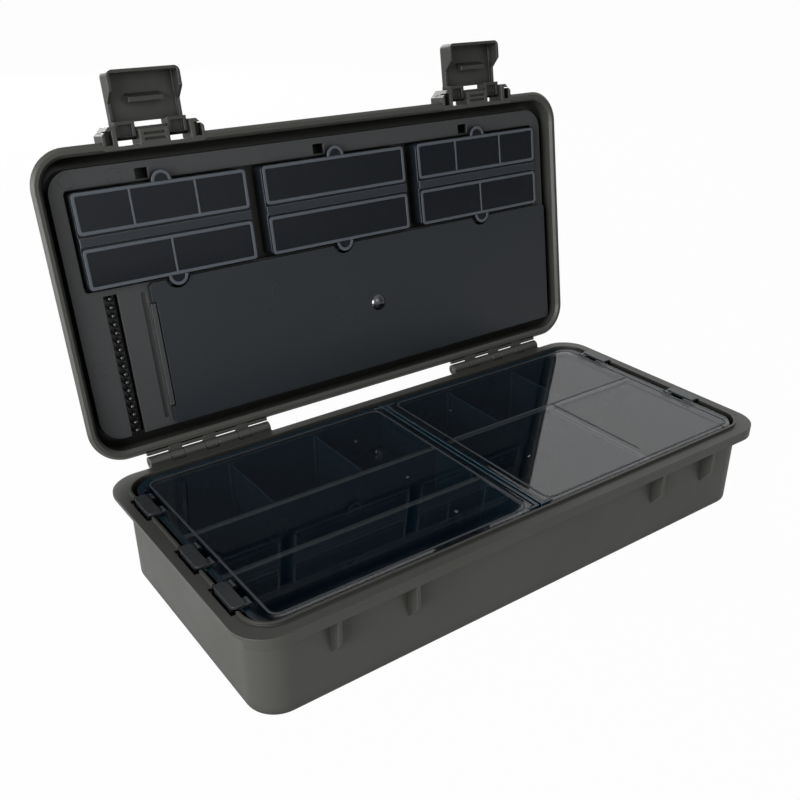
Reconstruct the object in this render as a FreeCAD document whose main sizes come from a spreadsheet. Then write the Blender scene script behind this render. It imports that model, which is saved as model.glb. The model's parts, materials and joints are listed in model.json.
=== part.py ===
"""Two-tray tackle box with a lined lid, three bit boxes and two over-centre latches.

The origin is the centre of the tub's underside: +X right, +Y back to the hinges, +Z up, millimetres.
"""
import FreeCAD, Part
import math
import os
import re
import Sketcher

Vector = FreeCAD.Vector
Turn = FreeCAD.Rotation
TOUCH = 1e-4

SIZES = {
    # Tub
    "base_length": 390.0,
    "base_depth": 188.0,
    "base_height": 58.5,
    "wall": 2.2,
    "wall_corner": 18.0,
    "floor_thick": 2.2,
    "foot_round": 3.0,
    "flange_reach": 7.5,
    "flange_thick": 2.2,
    "flange_corner": 20.5,
    "lip_drop": 6.8,
    "lip_wall": 2.0,
    "ridge_wall": 1.6,
    "ridge_rise": 1.7,
    "fin_spacing": 48.6,
    "fin_thick": 2.5,
    "fin_knee": 37.0,
    "fin_foot": 26.0,
    "drain_shift": 12.0,
    "drain_width": 4.0,
    "drain_top": 50.0,
    "drain_low": 46.5,
    # Hinges between tub and lid
    "hinge_offset": 121.0,
    "hinge_back": 5.4,
    "hinge_rise": 0.5,
    "base_knuckles": 4,
    "knuckle_wide": 14.0,
    "knuckle_slot": 9.4,
    "knuckle_gap": 0.35,
    "knuckle_radius": 3.8,
    "hinge_pin_radius": 1.2,
    "pin_play": 0.05,
    "pin_end": 0.5,
    # Trays
    "tray_play": 0.5,
    "tray_side_play": 3.0,
    "tray_gap": 1.0,
    "tray_drop": 0.7,
    "tray_floor_gap": 0.3,
    "tray_wall": 1.6,
    "tray_floor": 1.6,
    "rim_out": 1.6,
    "rim_thick": 1.4,
    "back_rim": 6.8,
    "divider_wall": 1.4,
    "divider_drop": 2.7,
    "back_row": 60.4,
    "middle_row": 45.0,
    "cross_cell": 81.5,
    "loose_wall": 1.2,
    "loose_first": 60.0,
    "loose_pitch": 62.5,
    "loose_play": 0.15,
    "guide_wall": 1.2,
    "guide_reach": 1.5,
    # Tray lids
    "tray_lid_gap": 0.3,
    "tray_lid_thick": 2.3,
    "tray_lid_inset": 3.0,
    "tray_lid_lap": 0.4,
    "barrel_gap": 0.3,
    "barrel_radius": 2.3,
    "barrel_play": 0.4,
    "stub_radius": 1.1,
    "ear_width": 5.5,
    "ear_room": 1.2,
    # Snap clips on the tray lids
    "clip_length": 23.0,
    "clip_play": 0.4,
    "clip_pivot_inset": 4.8,
    "clip_pivot_rise": 1.5,
    "clip_top": 1.4,
    "clip_top_rise": 1.8,
    "clip_barrel": 1.2,
    "clip_ear": 6.0,
    "clip_leg_gap": 3.3,
    "clip_leg": 2.0,
    "clip_toe": 4.1,
    "clip_toe_thick": 1.2,
    "clip_toe_drop": 1.4,
    "clip_corner": 2.5,
    "clip_stub": 0.7,
    "clip_stub_reach": 2.0,
    "clip_swing": 1.9,
    "clip_back": 26.0,
    "clip_left_middle": 70.7,
    "clip_left_front": 29.2,
    "clip_right_front": 48.7,
    # Lid moulding
    "lid_open": 99.0,
    "lid_overhang": 0.5,
    "lid_near": 6.0,
    "lid_setback": 2.6,
    "lid_corner": 22.0,
    "lid_depth": 20.0,
    "lid_wall": 2.2,
    "lid_wall_inset": 3.5,
    "lid_round": 8.0,
    "lid_flange_thick": 2.4,
    "lid_bevel": 1.7,
    # Liner inside the lid
    "liner_play": 0.3,
    "plate_drop": 8.0,
    "plate_thick": 2.0,
    "trench_side": 4.2,
    "trench_far": 6.4,
    "trench_near": 5.5,
    "skirt_wall": 1.5,
    "plate_corner": 14.0,
    # Bit boxes in their recess
    "recess_side": 18.5,
    "recess_far": 23.3,
    "recess_height": 58.5,
    "box_end_gap": 2.1,
    "box_mid_gap": 11.4,
    "box_side_gap": 1.4,
    "box_face": 3.5,
    "box_floor_gap": 0.3,
    "box_wall": 1.5,
    "box_floor": 1.2,
    "box_corner": 2.5,
    "box_bar": 5.2,
    "box_divider": 1.2,
    "box_cell_offset": 20.5,
    "box_lid_thick": 1.3,
    "box_lid_gap": 0.4,
    "tab_radius": 6.5,
    "catch_shift": 9.5,
    "catch_width": 8.0,
    "catch_height": 7.0,
    # Panel over the storage space
    "panel_left": 56.5,
    "panel_gap": 0.8,
    "panel_seat": 0.3,
    "panel_thick": 2.3,
    "panel_corner": 3.0,
    "panel_lap": 5.0,
    "recess_bar": 4.5,
    "relief_depth": 2.5,
    "relief_end": 13.5,
    "rail_width": 3.0,
    "rail_rise": 2.4,
    "rail_end": 1.0,
    "groove_width": 3.0,
    "groove_gap": 1.0,
    "groove_depth": 1.2,
    "tab_clearance": 1.7,
    "knob_radius": 5.6,
    "knob_rise": 2.6,
    "knob_gap": 0.1,
    "stem_radius": 1.8,
    "washer_radius": 3.4,
    "washer_thick": 1.3,
    # Hook rack
    "rack_inset": 32.5,
    "rack_width": 8.6,
    "rack_near": 1.5,
    "rack_far": 3.5,
    "rack_play": 0.3,
    "rack_step": 2.4,
    "peg_pitch": 5.2,
    "peg_first": 4.0,
    "peg_radius": 1.9,
    "peg_sink": 0.8,
    # Latches
    "latch_offset": 120.5,
    "latch_back": 3.8,
    "latch_sink": 8.0,
    "latch_pin_radius": 1.5,
    "latch_pin_half": 29.5,
    "house_half": 31.0,
    "house_back": 7.7,
    "house_depth": 14.0,
    "house_chamfer": 4.5,
    "house_bar_thick": 1.4,
    "house_step": 4.2,
    "latch_room": 0.3,
    "house_slot_in": 9.0,
    "house_slot_out": 22.4,
    "house_middle": 6.4,
    "house_pocket_in": 25.0,
    "house_pocket_out": 29.3,
    "house_pocket_deep": 5.0,
    "house_groove_half": 6.5,
    "house_groove": 1.5,
    "flap_half": 21.8,
    "flap_inner": 9.8,
    "flap_length": 33.4,
    "flap_start": 5.2,
    "flap_skin": 1.8,
    "flap_back": 3.3,
    "flap_cheek": 7.8,
    "flap_corner": 3.5,
    "arm_low": 4.2,
    "arm_back": 3.8,
    "arm_front": 5.0,
    "arm_chamfer": 1.8,
    "arm_pocket_wall": 2.0,
    "arm_pocket_deep": 2.8,
    "hook_start": 15.9,
    "hook_thick": 5.0,
    "hook_half": 10.5,
    "hook_reach": 5.0,
}

os.makedirs("parts", exist_ok=True)
doc = FreeCAD.newDocument("TackleBox")
sheet = doc.addObject("Spreadsheet::Sheet", "Sizes")
for row, (alias, value) in enumerate(SIZES.items(), start=1):
    sheet.set(f"A{row}", alias)
    sheet.set(f"B{row}", str(value))
    sheet.setAlias(f"B{row}", alias)
doc.recompute()

# Places worked out from the sizes, as formulas over the sheet's names
WALL_X = "(base_length/2 - flange_reach)"
WALL_Y = "(base_depth/2 - flange_reach)"
INNER_X = f"({WALL_X} - wall)"
INNER_Y = f"({WALL_Y} - wall)"
INNER_CORNER = "(wall_corner - wall)"
HINGE_Y = "(base_depth/2 + hinge_back)"
HINGE_Z = "(base_height + hinge_rise)"
KNUCKLE_PITCH = "(knuckle_wide + knuckle_slot)"
HINGE_HALF = f"((base_knuckles*{KNUCKLE_PITCH} - knuckle_slot)/2)"

TRAY_TOP = "(base_height - tray_drop)"
TRAY_LOW = "(floor_thick + tray_floor_gap)"
RIM_X = f"({INNER_X} - tray_side_play)"
RIM_Y = f"({INNER_Y} - tray_play)"
TRAY_X = f"({RIM_X} - rim_out)"
TRAY_FRONT = f"(-({RIM_Y} - rim_out))"
TRAY_BACK = f"({RIM_Y} - back_rim)"
CELL_X = f"({TRAY_X} - tray_wall)"
CELL_FRONT = f"({TRAY_FRONT} + tray_wall)"
CELL_BACK = f"({TRAY_BACK} - tray_wall)"
CELL_FLOOR = f"({TRAY_LOW} + tray_floor)"
CELL_TOP = f"({TRAY_TOP} - divider_drop)"
CENTRE_X = "(tray_gap + tray_wall)"
TRAY_CORNER = f"({INNER_CORNER} - tray_play)"
ROW_BACK = f"({CELL_BACK} - back_row)"
ROW_MIDDLE = f"({ROW_BACK} - divider_wall - middle_row)"

TRAY_LID_LOW = f"({TRAY_TOP} + tray_lid_gap)"
TRAY_LID_TOP = f"({TRAY_LID_LOW} + tray_lid_thick)"
BARREL_X = f"({CENTRE_X} + barrel_gap + barrel_radius)"
EAR_X = f"({CENTRE_X} + ear_width)"
CLIP_Y = {"left_back": f"({TRAY_BACK} - clip_back)",
          "left_middle": f"({TRAY_FRONT} + clip_left_middle)",
          "left_front": f"({TRAY_FRONT} + clip_left_front)",
          "right_back": f"({TRAY_BACK} - clip_back)",
          "right_front": f"({TRAY_FRONT} + clip_right_front)"}
CLIP_X = f"({RIM_X} - clip_pivot_inset)"
CLIP_Z = f"({TRAY_TOP} + clip_pivot_rise)"
CLIP_LEG_X = f"({RIM_X} + clip_leg_gap)"
CLIP_OUT_X = f"({CLIP_LEG_X} + clip_leg)"
CLIP_TOE_TOP = f"({TRAY_TOP} - rim_thick - clip_toe_drop)"
CLIP_TOP_Z = f"({TRAY_TOP} + clip_top_rise + clip_top)"

LID_X = "(base_length/2 + lid_overhang)"
LID_FAR = f"({HINGE_Y} + base_depth/2 - lid_setback)"
SHELL_INSET = "(lid_wall_inset + lid_wall)"
LINER_INSET = f"({SHELL_INSET} + liner_play)"
LINER_X = f"({LID_X} - {LINER_INSET})"
LINER_NEAR = f"(lid_near + {LINER_INSET})"
LINER_FAR = f"({LID_FAR} - {LINER_INSET})"
PLATE_X = f"({LINER_X} - trench_side)"
PLATE_NEAR = f"({LINER_NEAR} + trench_near)"
PLATE_FAR = f"({LINER_FAR} - trench_far)"
PLATE_UNDER = "(plate_drop + plate_thick)"
RECESS_X = f"({LID_X} - recess_side)"
RECESS_FAR = f"({LID_FAR} - recess_far)"
RECESS_NEAR = f"({RECESS_FAR} - recess_height)"
BOX_LENGTH = f"((2*({RECESS_X} - box_end_gap - box_mid_gap))/3)"
BOX_PITCH = f"({BOX_LENGTH} + box_mid_gap)"
BOX_NEAR = f"({RECESS_NEAR} + box_side_gap)"
BOX_FAR = f"({RECESS_FAR} - box_side_gap)"
BOX_MIDDLE = f"(({BOX_NEAR} + {BOX_FAR})/2)"
BOX_LOW = "(-(lid_depth - lid_wall - box_floor_gap))"
BOX_RIM = "(-(box_face + box_lid_thick + box_lid_gap))"
PANEL_LEFT = f"(-({LID_X} - panel_left))"
PANEL_RIGHT = f"({PLATE_X} - panel_gap)"
PANEL_NEAR = f"({PLATE_NEAR} + panel_gap)"
PANEL_FAR = f"({RECESS_NEAR} - panel_gap)"
PANEL_UNDER = "(-(plate_drop - panel_seat))"
PANEL_FACE = f"({PANEL_UNDER} + panel_thick)"
KNOB_X = f"(({PANEL_LEFT} + {PANEL_RIGHT})/2)"
KNOB_Y = f"(({PANEL_NEAR} + {PANEL_FAR})/2)"
RAIL_RIGHT = f"({PANEL_LEFT} + relief_depth - panel_gap)"
RAIL_LEFT = f"({RAIL_RIGHT} - rail_width)"
RACK_X = f"(-({LID_X} - rack_inset))"
RACK_LOW = f"({PLATE_NEAR} - rack_near)"
RACK_HIGH = f"({RECESS_NEAR} - rack_far)"

LATCH_Y = f"({LID_FAR} + latch_back)"
HOUSE_NEAR = f"({LID_FAR} - lid_wall_inset)"
HOUSE_ROOT = f"({HOUSE_NEAR} - lid_wall/2)"
HOUSE_FAR = f"({LID_FAR} + house_back)"
BAR_NEAR = f"({HINGE_Y} + {INNER_Y} + ridge_wall + latch_room)"
FLAP_END = f"({LATCH_Y} + flap_length)"
FLAP_BACK = "(-latch_sink - flap_back)"
FLAP_FRONT = "(-latch_sink + flap_cheek)"
FLAP_LIP = "(-latch_sink + latch_back - lid_setback - latch_room)"

nodes = {}


def resolved(formula):
    """The formula with each sheet name written as the sheet's cell."""
    return re.sub(r"[a-z_]+", lambda word: f"Sizes.{word[0]}" if word[0] in SIZES else word[0], formula)


def tie(target, path, formula):
    """Bind one property of a document object to a formula."""
    target.setExpression(path, resolved(formula))


def amount(formula):
    """The formula's present value, used where a sketch is first drawn."""
    return float(sheet.evalExpression(resolved(formula)))


def span(side, near, far):
    """The low and high formulas of a stretch that lies near to far from the middle, on one side."""
    return (near, far) if side > 0 else (f"-({far})", f"-({near})")


def offsets(centre, hand, near, far):
    """The low and high formulas of a stretch that lies near to far from a centre, on one side of it."""
    edges = (f"{centre} + {hand}*({near})", f"{centre} + {hand}*({far})")
    return edges if hand > 0 else edges[::-1]


def around(centre, half):
    """The low and high formulas of a stretch centred on a place."""
    return f"({centre}) - ({half})", f"({centre}) + ({half})"


def block(name, x, y, z):
    """A box between a low and a high formula along each axis."""
    box = doc.addObject("Part::Box", name)
    for length, axis, (low, high) in zip(("Length", "Width", "Height"), "xyz", (x, y, z)):
        tie(box, length, f"({high}) - ({low})")
        tie(box, f"Placement.Base.{axis}", low)
    return box


def rod(name, axis, ends, across, radius):
    """A cylinder along one axis, between two formulas, at two places across it."""
    turn = {"x": Turn(Vector(0, 1, 0), 90), "y": Turn(Vector(1, 0, 0), -90), "z": Turn()}[axis]
    cylinder = doc.addObject("Part::Cylinder", name)
    cylinder.Placement = FreeCAD.Placement(Vector(), turn)
    others = [other for other in "xyz" if other != axis]
    for other, place in zip(others, across):
        tie(cylinder, f"Placement.Base.{other}", place)
    tie(cylinder, f"Placement.Base.{axis}", ends[0])
    tie(cylinder, "Height", f"({ends[1]}) - ({ends[0]})")
    tie(cylinder, "Radius", radius)
    return cylinder


def fuse(name, pieces):
    """Several solids joined into one."""
    joined = doc.addObject("Part::MultiFuse", name)
    joined.Shapes = pieces
    joined.Refine = True
    return joined


def cut(name, base, tools):
    """A solid less several tools."""
    made = doc.addObject("Part::Cut", name)
    made.Base = base
    made.Tool = tools[0] if len(tools) == 1 else fuse(f"{name}_tools", tools)
    made.Refine = True
    return made


def common(name, first, second):
    """What two solids share."""
    made = doc.addObject("Part::MultiCommon", name)
    made.Shapes = [first, second]
    made.Refine = True
    return made


def sketch(body, name, role, level):
    """An empty sketch on one of the body's origin planes, moved to a level along its normal."""
    drawn = body.newObject("Sketcher::SketchObject", name)
    plane = next(feature for feature in body.Origin.OriginFeatures if feature.Role == role)
    drawn.AttachmentSupport = (plane, [""])
    drawn.MapMode = "FlatFace"
    tie(drawn, "AttachmentOffset.Base.z", level)
    return drawn


def hold(drawn, kind, places, formula):
    """Add one driving dimension to a sketch and bind it to a formula."""
    index = drawn.addConstraint(Sketcher.Constraint(kind, *places, amount(formula)))
    label = f"size_{index}"
    drawn.renameConstraint(index, label)
    tie(drawn, f"Constraints.{label}", formula)


def draw_rounded(drawn, x, y, corner):
    """Draw a rectangle with four equal round corners, held by its sides and its radius."""
    first = drawn.GeometryCount
    left, right = amount(x[0]), amount(x[1])
    low, high = amount(y[0]), amount(y[1])
    radius = amount(corner)
    centres = [(right - radius, low + radius), (right - radius, high - radius),
               (left + radius, high - radius), (left + radius, low + radius)]
    corners = [(right, low), (right, high), (left, high), (left, low)]
    for step, (centre, start) in enumerate(zip(centres, (3, 0, 1, 2))):
        previous = centres[step - 1]
        out = Turn(Vector(0, 0, 1), 90 * (start % 4)).multVec(Vector(radius, 0, 0))
        drawn.addGeometry(Part.LineSegment(Vector(*previous) + out, Vector(*centre) + out))
        circle = Part.Circle(Vector(*centre), Vector(0, 0, 1), radius)
        drawn.addGeometry(Part.ArcOfCircle(circle, math.radians(90 * start), math.radians(90 * start + 90)))
    sides = 2 * len(corners)
    for index in range(sides):
        following = first + (index + 1) % sides
        drawn.addConstraint(Sketcher.Constraint("Tangent", first + index, 2, following, 1))
    for index, direction in enumerate(("Horizontal", "Vertical", "Horizontal", "Vertical")):
        drawn.addConstraint(Sketcher.Constraint(direction, first + 2 * index))
    for index in (3, 5, 7):
        drawn.addConstraint(Sketcher.Constraint("Equal", first + 1, first + index))
    hold(drawn, "Radius", (first + 1,), corner)
    hold(drawn, "DistanceY", (-1, 1, first, 1), y[0])
    hold(drawn, "DistanceX", (-1, 1, first + 2, 1), x[1])
    hold(drawn, "DistanceY", (-1, 1, first + 4, 1), y[1])
    hold(drawn, "DistanceX", (-1, 1, first + 6, 1), x[0])


def draw_polygon(drawn, points):
    """Draw a closed polygon whose corners are held by two formulas each."""
    places = [Vector(amount(across), amount(up)) for across, up in points]
    for index, place in enumerate(places):
        drawn.addGeometry(Part.LineSegment(place, places[(index + 1) % len(places)]))
    for index, (across, up) in enumerate(points):
        following = (index + 1) % len(points)
        drawn.addConstraint(Sketcher.Constraint("Coincident", index, 2, following, 1))
        hold(drawn, "DistanceX", (-1, 1, index, 1), across)
        hold(drawn, "DistanceY", (-1, 1, index, 1), up)


def outline(body, name, level, *loops):
    """A sketch of rounded rectangles at a height."""
    drawn = sketch(body, name, "XY_Plane", level)
    for x, y, corner in loops:
        draw_rounded(drawn, x, y, corner)
    return drawn


def pad(body, drawn, height):
    """Raise a sketch into material along its normal."""
    made = body.newObject("PartDesign::Pad", f"{drawn.Name}_pad")
    made.Profile = drawn
    tie(made, "Length", height)
    return made


def pocket(body, drawn, depth):
    """Sink a sketch into the material against its normal, and see that it removed something."""
    before = body.Shape.Volume
    made = body.newObject("PartDesign::Pocket", f"{drawn.Name}_pocket")
    made.Profile = drawn
    tie(made, "Length", depth)
    doc.recompute()
    if made.Shape.Volume >= before:
        raise ValueError(f"{made.Name} cuts nothing")
    return made


def slab(name, x, y, z, corner):
    """A body of one padded rounded rectangle."""
    body = doc.addObject("PartDesign::Body", name)
    pad(body, outline(body, f"{name}_outline", z[0], (x, y, corner)), f"({z[1]}) - ({z[0]})")
    return body


def shaft(name, x, centre, radius):
    """A body of one circle padded along X."""
    body = doc.addObject("PartDesign::Body", name)
    drawn = sketch(body, f"{name}_circle", "YZ_Plane", x[0])
    middle = Vector(amount(centre[0]), amount(centre[1]))
    drawn.addGeometry(Part.Circle(middle, Vector(0, 0, 1), amount(radius)))
    hold(drawn, "Radius", (0,), radius)
    hold(drawn, "DistanceX", (-1, 1, 0, 3), centre[0])
    hold(drawn, "DistanceY", (-1, 1, 0, 3), centre[1])
    pad(body, drawn, f"({x[1]}) - ({x[0]})")
    return body


def prism(name, role, level, height, points):
    """A body of one padded polygon."""
    body = doc.addObject("PartDesign::Body", name)
    drawn = sketch(body, f"{name}_outline", role, level)
    draw_polygon(drawn, points)
    pad(body, drawn, height)
    return body


def edges_at(feature, height):
    """The names of a feature's edges that lie flat at one height."""
    names = []
    for index, edge in enumerate(feature.Shape.Edges, start=1):
        box = edge.BoundBox
        if abs(box.ZMin - height) < TOUCH and abs(box.ZMax - height) < TOUCH:
            names.append(f"Edge{index}")
    return names


def widest(feature, name):
    """How far an edge reaches from the middle along X."""
    box = feature.Shape.getElement(name).BoundBox
    return max(abs(box.XMin), abs(box.XMax))


def keep(node, made):
    """Give a finished sub-part its name."""
    made.Label = node
    nodes[node] = made
    return made


def on_lid(made):
    """Stand a lid piece in the open lid.

    Lid pieces are drawn lying down: X along the hinge, Y from the hinge axis to the latches and
    Z out of the lid's open face.
    """
    turn = "rotation(vector(1; 0; 0); 180 - lid_open)"
    tie(made, "Placement", f"placement(vector(0; {HINGE_Y}; {HINGE_Z}); {turn})")
    return made


# ---- Tub: walls, turned-down flange, sealing ridge, latch fins and hinge knuckles
def make_tub():
    body = doc.addObject("PartDesign::Body", "tub_moulding")
    walls = pad(body, outline(body, "tub_walls", "0", (
        around("0", WALL_X), around("0", WALL_Y), "wall_corner")), "base_height")
    doc.recompute()
    foot = body.newObject("PartDesign::Fillet", "tub_foot")
    foot.Base = (walls, edges_at(walls, 0.0))
    tie(foot, "Radius", "foot_round")
    flange = (around("0", "base_length/2"), around("0", "base_depth/2"), "flange_corner")
    lip_inside = (around("0", "base_length/2 - lip_wall"), around("0", "base_depth/2 - lip_wall"),
                  "flange_corner - lip_wall")
    inside = (around("0", INNER_X), around("0", INNER_Y), INNER_CORNER)
    ridge = (around("0", f"{INNER_X} + ridge_wall"), around("0", f"{INNER_Y} + ridge_wall"),
             f"{INNER_CORNER} + ridge_wall")
    pad(body, outline(body, "tub_flange", "base_height - flange_thick", flange), "flange_thick")
    doc.recompute()
    pocket(body, outline(body, "tub_hollow", "base_height", inside), "base_height - floor_thick")
    pad(body, outline(body, "tub_ridge", "base_height", ridge, inside), "ridge_rise")

    skirt = doc.addObject("PartDesign::Body", "lip_moulding")
    pad(skirt, outline(skirt, "tub_lip", "base_height - lip_drop", flange, lip_inside), "lip_drop")
    front = block("lip_front", around("0", "base_length"),
                  ("-base_depth", "-(base_depth/2 - flange_corner/2)"), ("0", "base_height"))
    additions = [body, common("tub_front_lip", skirt, front)]
    holes = []
    for side, word in ((-1, "left"), (1, "right")):
        latch = f"({side}*latch_offset)"
        for end in (-1, 1):
            centre = f"{latch} + {end}*fin_spacing/2"
            start = f"{centre} - fin_thick/2"
            additions.append(prism(f"fin_{word}_{end + 2}", "YZ_Plane", start, "fin_thick", [
                (f"-({WALL_Y} - wall/2)", "base_height - flange_thick/2"),
                ("-base_depth/2", "base_height - flange_thick/2"),
                ("-base_depth/2", "fin_knee"),
                (f"-({WALL_Y} - wall/2)", "fin_foot")]))
        holes.append(prism(f"drain_{word}", "XZ_Plane", f"{INNER_Y} - wall", "3*wall", [
            (f"{latch} - drain_shift - drain_width/2", "drain_top"),
            (f"{latch} - drain_shift + drain_width/2", "drain_top"),
            (f"{latch} - drain_shift + drain_width/2", "drain_low")]))
        hinge = f"({side}*hinge_offset)"
        for index in range(int(SIZES["base_knuckles"])):
            shift = index - (SIZES["base_knuckles"] - 1) / 2
            x = around(f"{hinge} + {shift}*{KNUCKLE_PITCH}", "knuckle_wide/2")
            tag = f"{word}_{index + 1}"
            additions.append(rod(f"knuckle_{tag}", "x", x, (HINGE_Y, HINGE_Z), "knuckle_radius"))
            additions.append(block(f"knuckle_web_{tag}", x, ("base_depth/2 - lip_wall", HINGE_Y),
                                   (f"{HINGE_Z} - knuckle_radius", "base_height")))
        holes.append(rod(f"hinge_hole_{word}", "x", around(hinge, f"{HINGE_HALF} + pin_end"),
                         (HINGE_Y, HINGE_Z), "hinge_pin_radius + pin_play"))
        keep(f"hinge_pin_{word}", shaft(f"hinge_pin_{word}", around(hinge, f"{HINGE_HALF} - pin_end"),
                                        (HINGE_Y, HINGE_Z), "hinge_pin_radius"))
    for side, word, place in CLIPS:
        x = span(side, f"{INNER_X} - wall", f"{CLIP_OUT_X} + clip_swing")
        y = around(CLIP_Y[f"{word}_{place}"], "clip_length/2 + 2*clip_play + clip_swing/2")
        z = (f"{CLIP_TOE_TOP} - clip_toe_thick - clip_swing", "base_height + ridge_rise + wall")
        holes.append(block(f"notch_{word}_{place}", x, y, z))
    keep("base_tub", cut("base_tub", fuse("tub_solid", additions), holes))


# ---- Trays: thin-walled halves with a lifting rim, fixed rows and guides for loose dividers
def make_tray(side, word):
    rim = slab(f"rim_{word}", around("0", RIM_X), around("0", RIM_Y),
               (f"{TRAY_TOP} - rim_thick", TRAY_TOP), TRAY_CORNER)
    bowl = slab(f"bowl_{word}", around("0", TRAY_X), (TRAY_FRONT, TRAY_BACK), (TRAY_LOW, TRAY_TOP),
                f"{TRAY_CORNER} - rim_out")
    hollow = slab(f"tray_hollow_{word}", around("0", CELL_X), (CELL_FRONT, CELL_BACK),
                  (CELL_FLOOR, f"{TRAY_TOP} + tray_wall"), f"{TRAY_CORNER} - rim_out - tray_wall")
    half = block(f"tray_half_{word}", span(side, "tray_gap", "base_length"),
                 around("0", "base_depth"), ("0", "base_height"))
    both = cut(f"trays_{word}", fuse(f"trays_solid_{word}", [rim, bowl]), [hollow])
    ends = ((TRAY_FRONT, CELL_FRONT), (CELL_BACK, TRAY_BACK))
    pieces = [common(f"tray_part_{word}", both, half),
              block(f"centre_wall_{word}", span(side, "tray_gap", CENTRE_X), (TRAY_FRONT, TRAY_BACK),
                    (TRAY_LOW, TRAY_LID_TOP)),
              block(f"row_back_{word}", span(side, CENTRE_X, CELL_X),
                    (f"{ROW_BACK} - divider_wall", ROW_BACK), (CELL_FLOOR, CELL_TOP))]
    for index, y in enumerate(ends):
        pieces.append(block(f"ear_{word}_{index + 1}", span(side, CENTRE_X, EAR_X), y,
                            (TRAY_LOW, TRAY_LID_TOP)))
    if word == "left":
        pieces.append(block("row_middle", span(side, CENTRE_X, CELL_X),
                            (f"{ROW_MIDDLE} - divider_wall", ROW_MIDDLE), (CELL_FLOOR, CELL_TOP)))
    else:
        wall_x = f"({CELL_X} - cross_cell)"
        pieces.append(block("cross_wall", (f"{wall_x} - divider_wall", wall_x), (CELL_FRONT, ROW_BACK),
                            (CELL_FLOOR, CELL_TOP)))
    for count in (1, 2):
        middle = f"({side}*({CELL_X} - loose_first - {count - 1}*loose_pitch))"
        keep(f"divider_{word}_{count}", block(
            f"divider_{word}_{count}", around(middle, "loose_wall/2"),
            (f"{ROW_BACK} + loose_play", f"{CELL_BACK} - loose_play"), (CELL_FLOOR, CELL_TOP)))
        guides = ((ROW_BACK, f"{ROW_BACK} + guide_reach"), (f"{CELL_BACK} - guide_reach", CELL_BACK))
        for end, y in enumerate(guides):
            for hand in (-1, 1):
                face = f"{middle} + {hand}*(loose_wall/2 + loose_play + guide_wall/2)"
                tag = f"{word}_{count}_{end}_{hand + 2}"
                pieces.append(block(f"guide_{tag}", around(face, "guide_wall/2"), y, (CELL_FLOOR, CELL_TOP)))
    bores = [rod(f"bore_{word}_{index + 1}", "y", (f"{y[0]} - tray_wall", f"{y[1]} + tray_wall"),
                 (f"{side}*{BARREL_X}", TRAY_LID_LOW), "stub_radius + pin_play")
             for index, y in enumerate(ends)]
    keep(f"tray_{word}", cut(f"tray_{word}", fuse(f"tray_solid_{word}", pieces), bores))


# ---- Tray lids: clear flat slabs on a full-length barrel, notched for their clips
def make_tray_lid(side, word):
    z = (TRAY_LID_LOW, TRAY_LID_TOP)
    y = (f"-({RIM_Y} - tray_play)", f"{TRAY_BACK} + tray_lid_lap")
    full = slab(f"cover_{word}", around("0", f"{RIM_X} - tray_lid_inset"), y, z,
                f"{TRAY_CORNER} - tray_lid_inset")
    half = block(f"cover_half_{word}", span(side, f"{EAR_X} + ear_room", "base_length"),
                 around("0", "base_depth"), ("0", "2*base_height"))
    ends = (f"{CELL_FRONT} + barrel_play", f"{CELL_BACK} - barrel_play")
    pieces = [common(f"cover_part_{word}", full, half),
              block(f"cover_bridge_{word}", span(side, BARREL_X, f"{EAR_X} + 2*ear_room"), ends, z),
              rod(f"barrel_{word}", "y", ends, (f"{side}*{BARREL_X}", TRAY_LID_LOW), "barrel_radius"),
              rod(f"barrel_stub_{word}", "y", (f"{TRAY_FRONT} + barrel_play", f"{TRAY_BACK} - barrel_play"),
                  (f"{side}*{BARREL_X}", TRAY_LID_LOW), "stub_radius")]
    notches = []
    stubs = []
    for clip_side, clip_word, place in CLIPS:
        if clip_side != side:
            continue
        middle = CLIP_Y[f"{word}_{place}"]
        notches.append(block(f"clip_notch_{word}_{place}",
                             span(side, f"{CLIP_X} - clip_barrel - 2*clip_play", "base_length"),
                             around(middle, "clip_length/2 + clip_play"), ("0", "2*base_height")))
        for end in (-1, 1):
            tip = f"({middle} + {end}*(clip_length/2 - clip_stub_reach))"
            root = f"({middle} + {end}*(clip_length/2 + clip_stub_reach))"
            reach = (tip, root) if end > 0 else (root, tip)
            stubs.append(rod(f"clip_stub_{word}_{place}_{end + 2}", "y", reach,
                             (f"{side}*{CLIP_X}", CLIP_Z), "clip_stub"))
    plate = cut(f"cover_notched_{word}", fuse(f"cover_solid_{word}", pieces), notches)
    keep(f"tray_lid_{word}", fuse(f"tray_lid_{word}", [plate] + stubs))


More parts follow.
